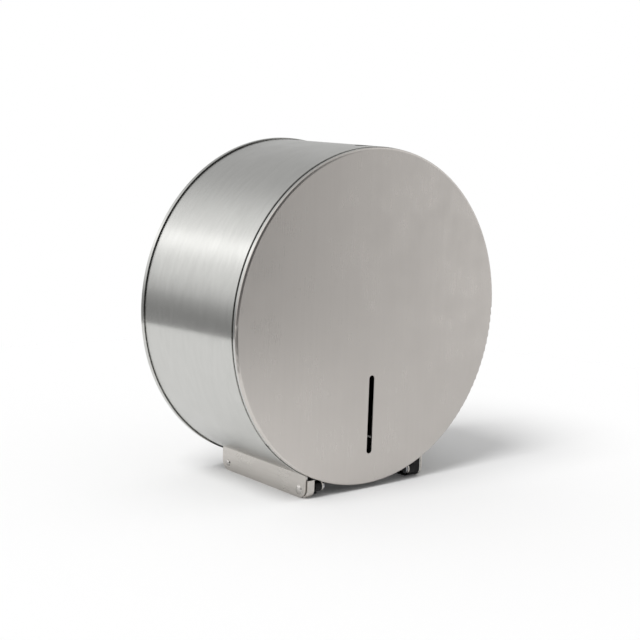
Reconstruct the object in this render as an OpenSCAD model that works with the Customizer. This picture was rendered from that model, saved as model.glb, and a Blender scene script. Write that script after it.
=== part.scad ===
// Jumbo toilet roll dispenser in brushed stainless steel: a drum with a full-circle front cover that
// drops open on a bottom hinge, a key lock in the top of the drum, a rotating core hub inside, and a
// paper mouth between two riveted cheeks that carry toothed tear strips.
// Frame: origin at the centre of the wall face, +X to the viewer's right, +Y into the wall, +Z up.

/* [Drum] */
// Diameter of the front cover
cover_d = 265; // [240:1:300]
// Distance from the wall face to the front face of the cover
depth = 124.5; // [118:0.5:140]
// Thickness of the drum sheet
sheet = 1; // [0.8:0.1:1.2]
// Radius of the rolled hem inside the front edge of the drum
hem_r = 1.2; // [0.9:0.1:1.6]
// Width of the turned-in flange at the back of the drum
back_flange_w = 9; // [6:0.5:14]
// Radius of the outer corner between the drum's wall and a flange of the mouth
bend_r = 2.4; // [1.6:0.1:2.4]

/* [Cover] */
// Thickness of the cover panel
panel_t = 1; // [0.8:0.1:1.2]
// Depth of the rolled edge of the panel, front to back
edge_depth = 2; // [1.8:0.1:2.6]
// Width of the rolled edge of the panel
edge_w = 1.9; // [1.9:0.1:2.6]
// Radius on the outer front corner of the rolled edge
edge_r = 1.7; // [0.8:0.1:1.8]
// Thickness of the rim band
rim_t = 1.1; // [1:0.05:1.2]
// Depth of the plain part of the rim, from the front face of the cover to the groove
rim_plain = 4.4; // [3.6:0.1:4.8]
// Width of the groove pressed round the rim
rim_groove_w = 1.6; // [1.2:0.1:2]
// Depth of the groove pressed round the rim
rim_groove_depth = 0.6; // [0.3:0.1:0.6]
// Depth of the rim band, from the front face of the cover to its back edge
rim_depth = 10.8; // [8:0.2:11.4]
// Radius on the edges of the rim's bead, behind the groove
curl_r = 0.5; // [0.3:0.05:0.5]
// Half of the arc at the bottom that has no rim, in degrees
rim_relief = 48; // [42:1:60]
// Radial clearance between the rim and the drum
rim_gap = 0.6; // [0.5:0.05:0.8]
// Clearance between the back of the panel's edge and the front of the drum
face_gap = 0.4; // [0.3:0.05:0.8]

/* [Sight slot] */
// Length of the sight slot
slot_len = 63; // [40:0.5:80]
// Width of the sight slot
slot_w = 5.3; // [5:0.1:10]
// Height of the slot's lower end above the lower edge of the cover
slot_up = 24.6; // [20:0.1:40]

/* [Wall plate] */
// Thickness of the wall plate
plate_t = 1.2; // [1:0.1:2]
// How far the wall plate stands out round the drum
plate_proud = 4.2; // [2.5:0.1:6]
// Radius on the front corner of the wall plate's edge
plate_edge_r = 0.6; // [0.2:0.1:0.8]
// Diameter of the pressed stiffening ring, to its middle
swage_d = 206; // [190:1:212]
// Width of the pressed stiffening ring
swage_w = 8; // [6:0.5:10]
// Height of the pressed stiffening ring
swage_h = 1.5; // [1:0.1:2.5]
// Distance between the wall screws, side to side
screw_x = 120; // [90:1:126]
// Distance between the wall screws, up and down
screw_z = 120; // [90:1:126]
// Diameter of the wall screw holes
screw_hole_d = 6; // [4.5:0.1:8]

/* [Cheeks] */
// Width across the outer faces of the two cheeks
cheek_w = 122.8; // [108:0.2:130]
// Thickness of a cheek plate
cheek_t = 1.2; // [1:0.1:1.6]
// Length of a cheek plate, front to back
cheek_len = 108.5; // [96:0.1:110]
// Distance of the cheek plates behind the front face of the cover
cheek_back = 3; // [2.2:0.1:3]
// Height of a cheek plate
cheek_h = 18.8; // [16:0.1:18.8]
// How far the cheeks reach below the lower edge of the cover
foot_drop = 3.9; // [3.9:0.1:7]
// Radius on the lower corners of a cheek plate
cheek_r = 8; // [7:0.1:8]
// Radius on the upper corners of a cheek plate
cheek_top_r = 1.5; // [1:0.1:2.5]
// Distance of the front rivet behind the front face of the cover
rivet_front = 10.7; // [10:0.1:12]
// Distance of the rear rivet behind the front face of the cover
rivet_back = 103.5; // [88:0.1:103.5]
// Height of the rivets above the foot
rivet_up = 6; // [5.8:0.1:6.5]
// Diameter of the rivet shanks
rivet_d = 3.6; // [3:0.1:4]
// Diameter of the front rivet's head
rivet_head_front = 7.4; // [6:0.1:8]
// Diameter of the rear rivet's head
rivet_head_back = 5.4; // [4.8:0.1:6.4]
// Height of a rivet's dome
rivet_dome = 1.3; // [0.8:0.1:1.8]
// Diameter of the closed inner end of a rivet
rivet_tail_d = 5.4; // [4.8:0.1:5.6]
// Height of the closed inner end of a rivet
rivet_tail_h = 0.9; // [0.6:0.1:1.2]

/* [Runners] */
// Width of the runner strips under the cheeks
runner_w = 6.4; // [5:0.1:6.6]
// Thickness of the runner strips
runner_t = 1.2; // [1:0.1:1.4]
// How far a runner's nose stands ahead of the cheek plate
nose_ahead = 1.7; // [1.5:0.1:1.7]
// Radius of the bend between the nose and the foot
nose_r = 7.5; // [7:0.1:8]
// Height of the nose above the foot
nose_h = 14.8; // [11:0.1:14.8]

/* [Tear strips] */
// Thickness of a tear strip's back wall
strip_wall = 1.4; // [1.2:0.1:2]
// Height of a tear strip's back wall
strip_h = 17.4; // [14:0.1:18]
// Width of a tear strip, from its back to the tips of its teeth
strip_w = 12.8; // [12:0.1:14]
// Distance of the tear strips behind the front face of the cover
strip_back = 4; // [4:0.1:4.4]
// Thickness of the toothed lip
lip_t = 1.2; // [1:0.1:1.3]
// Distance from one tooth to the next
tooth_pitch = 4; // [3:0.1:6]
// Length of a tooth
tooth_len = 2.4; // [1.5:0.1:3]
// Thickness of the end walls and ribs
rib_t = 1.6; // [1.2:0.1:2.4]
// Number of ribs between the end walls
rib_n = 5; // [3:1:6]
// Width of the top of an end wall
end_top_w = 4.6; // [3:0.1:6]

/* [Hinge] */
// Distance of the hinge axis behind the front face of the cover
hinge_back = 5; // [4.8:0.1:5.4]
// Height of the hinge axis above the lower edge of the cover
hinge_up = 4.5; // [4.2:0.1:4.8]
// Diameter of the hinge pins
pin_d = 4; // [3:0.1:4.4]
// Radial play of the ears on the hinge pins
pin_play = 0.05; // [0.02:0.01:0.09]
// Diameter of a hinge pin's head
pin_head_d = 6.8; // [6:0.1:7.6]
// Thickness of a hinge pin's head
pin_head_t = 1.3; // [1:0.1:2]
// Diameter of the boss that holds a hinge pin
boss_d = 8; // [7:0.1:8.2]
// Length of the boss that holds a hinge pin
boss_len = 6.2; // [5:0.1:6.4]
// Thickness of the hinge ears
ear_t = 1.2; // [1:0.1:1.6]
// Width of an ear where it goes round its pin
ear_d = 8; // [7.6:0.1:8.6]
// Height of an ear's foot on the panel
ear_foot_h = 24; // [16:0.5:30]
// Width of an ear's foot on the panel
ear_foot_w = 9; // [6:0.5:12]
// Side clearance on both sides of an ear
ear_gap = 0.3; // [0.2:0.05:0.5]

/* [Lock] */
// Distance of the lock's axis behind the front face of the cover
lock_back = 19.5; // [19.5:0.1:24]
// Diameter of the lock's head
lock_head_d = 14; // [13:0.1:16]
// Height of the lock's head above the drum
lock_head_t = 1.2; // [1:0.1:2]
// Diameter of the lock's barrel
barrel_d = 11.8; // [11:0.1:12.4]
// Length of the lock's barrel below its head
barrel_len = 16; // [12:0.1:22]
// Diameter of the turning plug
plug_d = 7; // [6:0.1:8]
// Diameter of the plug's face
plug_face_d = 9; // [8.6:0.1:10]
// Thickness of the plug's face
plug_face_t = 1.2; // [1:0.1:1.6]
// Radial play of the plug in the barrel
plug_play = 0.05; // [0.02:0.01:0.09]
// Width of the keyway
keyway_w = 1.3; // [1:0.1:1.8]
// Length of the keyway
keyway_len = 5.4; // [4:0.1:5.8]
// Depth of the keyway
keyway_depth = 6; // [3:0.5:9]
// Reach of the cam from the lock's axis to its tip
cam_reach = 15; // [14:0.1:15.5]
// Width of the cam
cam_w = 9; // [8.6:0.1:10]
// Thickness of the cam
cam_t = 1.8; // [1.4:0.1:2.4]
// Clearance round the cam where it turns past the barrel
cam_gap = 0.2; // [0.15:0.05:0.4]
// Clearance between the cam and the catch
catch_gap = 0.6; // [0.4:0.1:1]
// Width of the catch
catch_w = 6; // [4:0.1:7]
// Distance of the catch from the lock's axis, to its near side
catch_x = 9; // [8.6:0.1:10]
// Thickness of the catch
catch_t = 1.2; // [1:0.1:1.6]
// Height of the catch's foot on the panel
catch_foot_h = 14; // [10:0.5:20]
// Width of the lock's nut across its flats
lock_nut_af = 15; // [14:0.1:15.4]
// Thickness of the lock's nut
lock_nut_t = 3; // [2:0.1:4]
// Width of the cam's nut across its flats
cam_nut_af = 7; // [6:0.1:8]
// Thickness of the cam's nut
cam_nut_t = 2.6; // [2:0.1:4]
// Diameter of the stud under the plug
cam_stud_d = 4; // [3:0.1:4.5]

/* [Core hub] */
// Diameter of the hub that carries the roll's core
hub_d = 44; // [36:0.5:56]
// Length of the hub, front to back
hub_len = 96; // [85:0.5:98]
// Wall of the hub
hub_wall = 2.4; // [1.6:0.1:4]
// Chamfer on the front edge of the hub
hub_chamfer = 1.5; // [1:0.1:1.6]
// Diameter of the guide disc behind the roll
guide_d = 84; // [66:1:110]
// Thickness of the guide disc
guide_t = 2.5; // [2:0.1:4]
// Radial play between the guide disc and the hub's sleeve
guide_play = 0.1; // [0.05:0.05:0.3]
// Diameter of the round holes in the guide disc
guide_hole_d = 11; // [7:0.5:11.5]
// Number of spokes, and of holes in the guide disc
spoke_n = 6; // [4:1:8]
// Thickness of the spokes
spoke_t = 2; // [1.4:0.1:3]
// Depth of the open pocket at the front of the hub, from its front edge to the web
pocket_depth = 20; // [6:0.5:40]
// Thickness of the web behind the pocket
web_t = 2.4; // [1.6:0.1:4]
// Outer diameter of the sleeve that runs on the axle
sleeve_d = 18; // [16:0.5:22]
// Diameter of the axle
axle_d = 12; // [10:0.1:14]
// Radial play of the hub on the axle
axle_play = 0.05; // [0.02:0.01:0.09]
// End play of the hub between its collar and its washer, each end
hub_end_gap = 0.2; // [0.1:0.05:0.4]
// Diameter of the axle's base disc
base_d = 56; // [40:1:70]
// Thickness of the axle's base disc
base_t = 2.5; // [2:0.1:4]
// Diameter of the collar behind the hub
collar_d = 20; // [16:0.5:26]
// Length of the collar behind the hub
collar_len = 3; // [2.5:0.1:6]
// Diameter of the washer in front of the hub
washer_d = 26; // [22:0.5:34]
// Thickness of the washer
washer_t = 1.5; // [1:0.1:2.5]
// Diameter of the threaded end of the axle
thread_d = 8; // [6:0.1:8]
// Width of the axle's nut across its flats
nut_af = 13; // [12:0.1:15]
// Thickness of the axle's nut
nut_t = 6.5; // [5:0.1:8]
// Length of thread that shows past the nut
thread_past = 1.6; // [1:0.1:3]

/* [Hidden] */

$fn = 96;

steel = [0.74, 0.73, 0.71];
plain_steel = [0.62, 0.63, 0.65];
black_plastic = [0.06, 0.06, 0.065];
grey_plastic = [0.82, 0.83, 0.84];

// radii, each measured from the drum's axis
cover_r = cover_d / 2;
flat_r = cover_r - edge_w;
drum_r = cover_r - rim_t - rim_gap;
drum_in = drum_r - sheet;
plate_r = drum_r + plate_proud;

// places along the depth are given as the distance behind the cover's front face
drum_front = edge_depth + face_gap;
drum_back = depth - plate_t;

// heights
foot_z = -cover_r - foot_drop;
runner_top = foot_z + runner_t;
rivet_z = foot_z + rivet_up;
hinge_z = -cover_r + hinge_up;

// places across the cheeks, each side
cheek_out = cheek_w / 2;
flange_out = cheek_out - cheek_t;
flange_in = flange_out - sheet;
strip_in = flange_in - strip_wall;
tooth_tip = flange_in - strip_w;
runner_in = flange_out - runner_w;
ear_out = tooth_tip - ear_gap;
ear_in = ear_out - ear_t;
ear_foot_low = -sqrt(pow(flat_r, 2) - pow(ear_out, 2)) + 0.5;

// centre of the rounded corner between the drum's wall and a flange, and the height where the flange ends
bend_x = flange_out + bend_r;
bend_z = -sqrt(pow(drum_r + bend_r, 2) - pow(bend_x, 2));
flange_top = -sqrt(pow(drum_in, 2) - pow(flange_in, 2)) - 0.2;

// places along the cheeks
cheek_end = cheek_back + cheek_len;
nose_front = cheek_back - nose_ahead;
nose_end = cheek_end + nose_ahead;
runner_end = cheek_end - cheek_r;
flange_front = cheek_back + 0.4;
flange_end = cheek_end - 0.4;
flange_r = nose_r - (flange_front - nose_front);
strip_end = flange_end - (strip_back - flange_front);
strip_r = flange_r - 0.4;
rib_first = rivet_front + rivet_tail_d + rib_t;
rib_last = rivet_back - rivet_tail_d - rib_t;

// lock heights, from the drum's crown down
barrel_bottom = drum_r - barrel_len;
cam_top = barrel_bottom - cam_gap;
cam_bottom = cam_top - cam_t;
catch_top = cam_bottom - catch_gap;
catch_bottom = catch_top - catch_t;
lip_back = lock_back + cam_w / 2 + catch_gap;
lock_nut_r = lock_nut_af / 2 / cos(30);
lock_nut_top = sqrt(pow(drum_in, 2) - pow(lock_nut_r, 2)) - 0.05;

// hub places along the depth
base_front = drum_back - base_t;
hub_end = base_front - collar_len - hub_end_gap;
hub_front = hub_end - hub_len;
guide_front = hub_end - guide_t;
shoulder = hub_front - hub_end_gap;
nut_back = shoulder - washer_t;
nut_front = nut_back - nut_t;

// A flat outline in X and Z, as a slab between two distances behind the front face
module slab(front, back)
  translate([0, back - depth, 0]) rotate([90, 0, 0]) linear_extrude(back - front) children();

// A flat outline in distance behind the front face and height, as a slab between two X
module side_slab(x_from, x_to)
  translate([x_from, -depth, 0]) rotate([90, 0, 90]) linear_extrude(x_to - x_from) children();

// A profile of radius and distance behind the front face, turned about the drum's axis.
// open_half leaves out an arc of that many degrees to each side of the bottom.
module turned(open_half = 0)
  translate([0, -depth, 0]) rotate([-90, 0, 0]) rotate([0, 0, 90 + open_half])
    rotate_extrude(angle = 360 - 2 * open_half, $fn = 180) children();

// A round bar along X between two X, at a distance behind the front face and a height
module bar_x(x_from, x_to, back, z, r)
  translate([x_from, back - depth, z]) rotate([0, 90, 0]) cylinder(h = x_to - x_from, r = r);

// A round bar along Y between two distances behind the front face, on the drum's axis
module bar_y(front, back, r)
  translate([0, back - depth, 0]) rotate([90, 0, 0]) cylinder(h = back - front, r = r);

// A six-sided bar along Y on the drum's axis
module hex_y(front, back, across_flats)
  translate([0, back - depth, 0]) rotate([90, 0, 0])
    cylinder(h = back - front, r = across_flats / 2 / cos(30), $fn = 6);

// A rectangle whose lower corners have radius low and whose upper corners have radius high
module cheek_outline(w, h, low, high) {
  translate([0, low]) square([w, h - low - high]);
  translate([low, 0]) square([w - 2 * low, low + 0.01]);
  translate([high, h - high - 0.01]) square([w - 2 * high, high + 0.01]);
  for (x = [low, w - low]) translate([x, low]) circle(low);
  for (x = [high, w - high]) translate([x, h - high]) circle(high);
}

// ---- fixed body ----

module wall_plate() color(steel)
  difference() {
    turned() {
      square_from(0, plate_r - plate_edge_r, drum_back, depth);
      square_from(plate_r - plate_edge_r - 0.01, plate_r, drum_back + plate_edge_r, depth);
      translate([plate_r - plate_edge_r, drum_back + plate_edge_r]) circle(plate_edge_r, $fn = 32);
      square_from(swage_d / 2 - swage_w / 2, swage_d / 2 + swage_w / 2,
                  depth - plate_t - swage_h, depth - plate_t + 0.01);
    }
    turned()
      square_from(swage_d / 2 - swage_w / 2 + plate_t, swage_d / 2 + swage_w / 2 - plate_t,
                  depth - swage_h, depth + 1);
    for (x = [-screw_x / 2, screw_x / 2], z = [-screw_z / 2, screw_z / 2])
      translate([x, 1, z]) rotate([90, 0, 0]) cylinder(h = plate_t + 2, d = screw_hole_d);
  }

// A rectangle given by its near and far radius and its front and back place
module square_from(r_from, r_to, front, back)
  translate([r_from, front]) square([r_to - r_from, back - front]);

module drum_band() color(steel)
  difference() {
    union() {
      difference() {
        union() {
          slab(drum_front + hem_r, drum_back) difference() {
            circle(drum_r, $fn = 180);
            circle(drum_in, $fn = 180);
          }
          slab(drum_back - sheet, drum_back) difference() {
            circle(drum_r - sheet / 2, $fn = 180);
            circle(drum_r - back_flange_w, $fn = 180);
          }
          turned() translate([drum_r - hem_r, drum_front + hem_r]) circle(hem_r, $fn = 32);
        }
        slab(drum_front - 1, drum_back + 1)
          translate([-flange_in, -drum_r - 1]) square([2 * flange_in, drum_r + 1]);
      }
      for (side = [0, 1]) mirror([side, 0, 0]) {
        side_slab(flange_in, flange_out) translate([flange_front, runner_top])
          cheek_outline(flange_end - flange_front, flange_top - runner_top, flange_r, 0.5);
        slab(drum_front + hem_r + 0.4, flange_end - 0.4) mouth_corner();
      }
    }
    translate([0, lock_back - depth, drum_in - 2]) cylinder(h = sheet + 4, d = barrel_d + 0.1);
    for (side = [0, 1]) mirror([side, 0, 0]) rivet_holes(flange_in - 1, flange_out + 1);
  }

// Rounded outer corner between the drum's wall and the right flange, rooted in the middle of both
// sheets and ending above the cheek plate
module mouth_corner() {
  middle = drum_r - sheet / 2;
  flange_x = flange_out - sheet / 2;
  root = middle / (drum_r + bend_r);
  intersection() {
    difference() {
      polygon([[bend_x, bend_z], [flange_x, bend_z], [flange_x, -sqrt(pow(middle, 2) - pow(flange_x, 2))],
               [bend_x * root, bend_z * root]]);
      translate([bend_x, bend_z]) circle(bend_r + 0.03);
    }
    translate([flange_in, foot_z + cheek_h]) square([4 * bend_r, 4 * bend_r + cheek_h]);
  }
}

module cheek_plate() color(steel)
  difference() {
    side_slab(flange_out, cheek_out) translate([cheek_back, foot_z])
      cheek_outline(cheek_len, cheek_h, cheek_r, cheek_top_r);
    rivet_holes(flange_out - 1, cheek_out + 1);
  }

module rivet_holes(x_from, x_to)
  for (back = [rivet_front, rivet_back]) bar_x(x_from, x_to, back, rivet_z, rivet_d / 2);

module left_cheek_plate() mirror([1, 0, 0]) cheek_plate();
module right_cheek_plate() cheek_plate();

// Strip along the foot of the left cheek, bent up at its front into a nose
module runner() color(steel)
  side_slab(-flange_out, -runner_in) {
    translate([nose_front, foot_z + nose_r]) square([runner_t, nose_h - nose_r]);
    translate([nose_front + nose_r, foot_z]) square([runner_end - nose_front - nose_r, runner_t]);
    intersection() {
      translate([nose_front + nose_r, foot_z + nose_r]) difference() {
        circle(nose_r);
        circle(nose_r - runner_t);
      }
      translate([nose_front, foot_z]) square(nose_r);
    }
  }

module left_runner() runner();
// the same pressing, turned end for end, so its nose is at the back
module right_runner()
  translate([0, nose_front + nose_end - 2 * depth, 0]) rotate([0, 0, 180]) runner();

module tear_strip() color(black_plastic)
  difference() {
    union() {
      intersection() {
        union() {
          side_slab(strip_in, flange_in)
            translate([strip_back, runner_top]) square([strip_end - strip_back, strip_h]);
          translate([0, 0, runner_top]) linear_extrude(lip_t) tooth_outline();
          for (i = [0:rib_n + 1]) strip_rib(rib_place(i));
        }
        side_slab(tooth_tip - 1, flange_out) translate([strip_back, runner_top])
          cheek_outline(strip_end - strip_back, strip_h, strip_r, 1);
      }
      bar_x(tooth_tip, tooth_tip + boss_len, hinge_back, hinge_z, boss_d / 2);
    }
    bar_x(tooth_tip - 1, tooth_tip + boss_len + 1, hinge_back, hinge_z, pin_d / 2);
    rivet_holes(strip_in - 1, flange_in + 1);
  }

// Place of a rib: the end walls first and last, the ribs between the rivets
function rib_place(i) =
  i == 0 ? strip_back :
  i == rib_n + 1 ? strip_end - rib_t :
  rib_first + (rib_last - rib_first) * (i - 1) / (rib_n - 1);

module strip_rib(front)
  slab(front, front + rib_t)
    polygon([[flange_in, runner_top + strip_h], [flange_in - end_top_w, runner_top + strip_h],
             [tooth_tip + tooth_len, runner_top + strip_h / 3],
             [tooth_tip + tooth_len, runner_top], [flange_in, runner_top]]);

// Plan of the toothed lip: whole teeth along the inner edge, centred between the ends
module tooth_outline() {
  span = strip_end - strip_back;
  teeth = floor(span / tooth_pitch);
  first = strip_back + (span - teeth * tooth_pitch) / 2 - depth;
  root = tooth_tip + tooth_len;
  translate([root, strip_back - depth]) square([flange_in - root, span]);
  for (i = [0:teeth - 1]) translate([root, first + i * tooth_pitch])
    polygon([[0.01, 0], [0.01, tooth_pitch], [-tooth_len, tooth_pitch / 2]]);
}

module left_tear_strip() mirror([1, 0, 0]) tear_strip();
module right_tear_strip() tear_strip();

module cheek_rivet(back, head_d) {
  bar_x(strip_in, cheek_out, back, rivet_z, rivet_d / 2);
  bar_x(strip_in - rivet_tail_h, strip_in, back, rivet_z, rivet_tail_d / 2);
  dome_r = (pow(head_d / 2, 2) + pow(rivet_dome, 2)) / (2 * rivet_dome);
  translate([cheek_out, back - depth, rivet_z]) rotate([0, 90, 0]) intersection() {
    translate([0, 0, rivet_dome - dome_r]) sphere(dome_r);
    cylinder(h = rivet_dome + 1, d = head_d + 1);
  }
}

module rivet_pair() color(steel) {
  cheek_rivet(rivet_front, rivet_head_front);
  cheek_rivet(rivet_back, rivet_head_back);
}

module left_rivets() mirror([1, 0, 0]) rivet_pair();
module right_rivets() rivet_pair();

module hinge_pin() color(plain_steel) {
  bar_x(ear_in - ear_gap, tooth_tip + boss_len, hinge_back, hinge_z, pin_d / 2);
  bar_x(ear_in - ear_gap - pin_head_t, ear_in - ear_gap, hinge_back, hinge_z, pin_head_d / 2);
}

module left_hinge_pin() mirror([1, 0, 0]) hinge_pin();
module right_hinge_pin() hinge_pin();

module at_lock() translate([0, lock_back - depth, 0]) children();

module lock_barrel() color(plain_steel) at_lock() difference() {
  union() {
    translate([0, 0, drum_r]) cylinder(h = lock_head_t, d = lock_head_d);
    translate([0, 0, barrel_bottom]) cylinder(h = barrel_len, d = barrel_d);
  }
  translate([0, 0, barrel_bottom - 1]) cylinder(h = barrel_len + 9, d = plug_d + 2 * plug_play);
  translate([0, 0, drum_r + lock_head_t - plug_face_t - plug_play])
    cylinder(h = 9, d = plug_face_d + 2 * plug_play);
}

module lock_nut() color(plain_steel) at_lock() difference() {
  translate([0, 0, lock_nut_top - lock_nut_t]) cylinder(h = lock_nut_t, r = lock_nut_r, $fn = 6);
  translate([0, 0, lock_nut_top - lock_nut_t - 1]) cylinder(h = lock_nut_t + 2, d = barrel_d);
}

module hub_axle() color(plain_steel) {
  bar_y(shoulder, base_front, axle_d / 2);
  bar_y(nut_front - thread_past, shoulder, thread_d / 2);
  bar_y(base_front - collar_len, base_front, collar_d / 2);
}

module axle_base() color(plain_steel) bar_y(base_front, drum_back, base_d / 2);

module axle_washer() color(plain_steel) difference() {
  bar_y(nut_back, shoulder, washer_d / 2);
  bar_y(nut_back - 1, shoulder + 1, thread_d / 2);
}

module axle_nut() color(plain_steel) difference() {
  hex_y(nut_front, nut_back, nut_af);
  bar_y(nut_front - 1, nut_back + 1, thread_d / 2);
}

// ---- front cover ----

module cover_panel() color(steel)
  difference() {
    turned() {
      square_from(0, cover_r - edge_r, 0, panel_t);
      square_from(flat_r, cover_r - edge_r, 0, edge_depth);
      square_from(cover_r - edge_r - 0.01, cover_r, edge_r, edge_depth);
      intersection() {
        translate([cover_r - edge_r, edge_r]) circle(edge_r, $fn = 48);
        square_from(cover_r - edge_r - 0.01, cover_r, 0, edge_r + 0.01);
      }
    }
    slab(-1, panel_t + 1) {
      low = -cover_r + slot_up + slot_w / 2;
      high = -cover_r + slot_up + slot_len - slot_w / 2;
      translate([-slot_w / 2, low]) square([slot_w, high - low]);
      for (z = [low, high]) translate([0, z]) circle(slot_w / 2, $fn = 48);
    }
  }

module cover_rim() color(steel)
  turned(rim_relief) {
    rim_in = cover_r - rim_t;
    bead = rim_plain + rim_groove_w;
    square_from(rim_in, cover_r, edge_depth, rim_plain - curl_r);
    square_from(rim_in, cover_r - curl_r, rim_plain - curl_r - 0.01, rim_plain);
    translate([cover_r - curl_r, rim_plain - curl_r]) circle(curl_r, $fn = 32);
    square_from(rim_in, cover_r - rim_groove_depth, rim_plain - 0.01, bead + 0.01);
    square_from(rim_in, cover_r - curl_r, bead, rim_depth);
    square_from(rim_in, cover_r, bead + curl_r, rim_depth - curl_r);
    for (back = [bead + curl_r, rim_depth - curl_r])
      translate([cover_r - curl_r, back]) circle(curl_r, $fn = 32);
  }

// Bracket behind the panel: its foot lies on the flat, its web passes behind the rolled edge
module hinge_ear() color(steel) difference() {
  foot_high = ear_foot_low + ear_foot_h;
  union() {
    side_slab(ear_in, ear_out) {
      translate([hinge_back, hinge_z]) circle(ear_d / 2);
      polygon([[drum_front, hinge_z], [hinge_back + ear_d / 2, hinge_z],
               [hinge_back + ear_d / 2, ear_foot_low], [panel_t + ear_t, foot_high],
               [panel_t, foot_high], [panel_t, ear_foot_low], [drum_front, ear_foot_low]]);
    }
    slab(panel_t, panel_t + ear_t)
      translate([ear_out - ear_foot_w, ear_foot_low]) square([ear_foot_w, ear_foot_h]);
  }
  bar_x(ear_in - 1, ear_out + 1, hinge_back, hinge_z, pin_d / 2 + pin_play);
}

module left_hinge_ear() mirror([1, 0, 0]) hinge_ear();
module right_hinge_ear() hinge_ear();

// Hooked arm behind the panel, under the cam's sweep, with a lip that the turned cam blocks
module lock_catch() color(plain_steel)
  side_slab(catch_x, catch_x + catch_w) {
    translate([panel_t, catch_top - catch_foot_h]) square([catch_t, catch_foot_h]);
    translate([panel_t, catch_bottom]) square([lip_back + catch_t - panel_t, catch_t]);
    translate([lip_back, catch_bottom]) square([catch_t, cam_top + 1 - catch_bottom]);
  }

// ---- core hub ----

module core_hub() color(grey_plastic) difference() {
  union() {
    difference() {
      union() {
        bar_y(hub_front + hub_chamfer, guide_front, hub_d / 2);
        translate([0, hub_front + hub_chamfer - depth, 0]) rotate([90, 0, 0])
          cylinder(h = hub_chamfer, r1 = hub_d / 2, r2 = hub_d / 2 - hub_chamfer);
      }
      bar_y(hub_front - 1, hub_front + pocket_depth, hub_d / 2 - hub_wall);
      bar_y(hub_front + pocket_depth + web_t, guide_front + 1, hub_d / 2 - hub_wall);
    }
    bar_y(hub_front, hub_end, sleeve_d / 2);
    for (i = [0:spoke_n - 1]) slab(hub_front + hub_chamfer + 1, guide_front) rotate(i * 360 / spoke_n)
      translate([sleeve_d / 2 - 0.5, -spoke_t / 2])
        square([hub_d / 2 - hub_wall - sleeve_d / 2 + 1, spoke_t]);
  }
  bar_y(hub_front - 1, hub_end + 1, axle_d / 2 + axle_play);
}

// Disc clipped on the back of the hub, which keeps the roll off the wall plate
module guide_disc() color(grey_plastic) slab(guide_front, hub_end) difference() {
  circle(guide_d / 2);
  circle(sleeve_d / 2 + guide_play);
  for (i = [0:spoke_n - 1]) rotate((i + 0.5) * 360 / spoke_n)
    translate([(hub_d + guide_d) / 4, 0]) circle(guide_hole_d / 2, $fn = 48);
}

// ---- lock, turning pieces ----

module lock_plug() color(plain_steel) at_lock() difference() {
  union() {
    translate([0, 0, drum_r + lock_head_t - plug_face_t]) cylinder(h = plug_face_t, d = plug_face_d);
    translate([0, 0, cam_bottom])
      cylinder(h = drum_r + lock_head_t - plug_face_t - cam_bottom + 0.01, d = plug_d);
    translate([0, 0, cam_bottom - cam_nut_t - 0.6]) cylinder(h = cam_nut_t + 1, d = cam_stud_d);
  }
  translate([-keyway_w / 2, -keyway_len / 2, drum_r + lock_head_t - keyway_depth])
    cube([keyway_w, keyway_len, keyway_depth + 1]);
}

module lock_cam() color(plain_steel) at_lock() translate([0, 0, cam_bottom])
  linear_extrude(cam_t) difference() {
    union() {
      circle(cam_w / 2);
      translate([-cam_w / 2, -cam_reach + cam_w / 2]) square([cam_w, cam_reach - cam_w / 2]);
      translate([0, -cam_reach + cam_w / 2]) circle(cam_w / 2);
    }
    circle(plug_d / 2);
  }

module cam_nut() color(plain_steel) at_lock() difference() {
  translate([0, 0, cam_bottom - cam_nut_t])
    cylinder(h = cam_nut_t, r = cam_nut_af / 2 / cos(30), $fn = 6);
  translate([0, 0, cam_bottom - cam_nut_t - 1]) cylinder(h = cam_nut_t + 2, d = cam_stud_d);
}

wall_plate();
drum_band();
left_cheek_plate();
right_cheek_plate();
left_runner();
right_runner();
left_tear_strip();
right_tear_strip();
left_rivets();
right_rivets();
left_hinge_pin();
right_hinge_pin();
lock_barrel();
lock_nut();
hub_axle();
axle_base();
axle_washer();
axle_nut();
cover_panel();
cover_rim();
left_hinge_ear();
right_hinge_ear();
lock_catch();
core_hub();
guide_disc();
lock_plug();
lock_cam();
cam_nut();
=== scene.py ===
"""Finishes, small parts, floor and light for a brushed steel dispenser for jumbo toilet rolls.

Lengths in the classes are in millimetres and angles in degrees, unless a name or a comment says
otherwise. The drum's axis is the frame's Y axis, and a depth is measured from the cover's front
face toward the wall.
"""

import logging
import math
from dataclasses import dataclass
from enum import Enum
from typing import Any

import bmesh
import bpy
from mathutils import Matrix, Vector


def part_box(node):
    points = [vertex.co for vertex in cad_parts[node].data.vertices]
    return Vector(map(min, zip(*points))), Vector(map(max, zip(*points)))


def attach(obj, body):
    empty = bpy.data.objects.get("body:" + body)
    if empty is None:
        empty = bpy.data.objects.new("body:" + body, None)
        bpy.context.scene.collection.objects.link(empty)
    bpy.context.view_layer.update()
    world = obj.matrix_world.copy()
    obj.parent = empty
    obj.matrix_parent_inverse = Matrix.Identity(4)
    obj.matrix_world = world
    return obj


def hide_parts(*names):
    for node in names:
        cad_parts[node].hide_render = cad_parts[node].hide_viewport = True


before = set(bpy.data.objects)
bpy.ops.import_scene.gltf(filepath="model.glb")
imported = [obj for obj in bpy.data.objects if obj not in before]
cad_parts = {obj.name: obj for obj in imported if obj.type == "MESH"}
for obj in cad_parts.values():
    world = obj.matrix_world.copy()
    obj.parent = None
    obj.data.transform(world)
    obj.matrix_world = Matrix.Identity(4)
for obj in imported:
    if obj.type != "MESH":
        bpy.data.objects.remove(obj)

log = logging.getLogger("dispenser")

MM = 0.001
DRUM_RADIUS_MM = 133.0
DEPTH_MM = 124.5
# an edge that turns by more than this is shaded sharp
SHARP_DEG = 30.0
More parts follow.
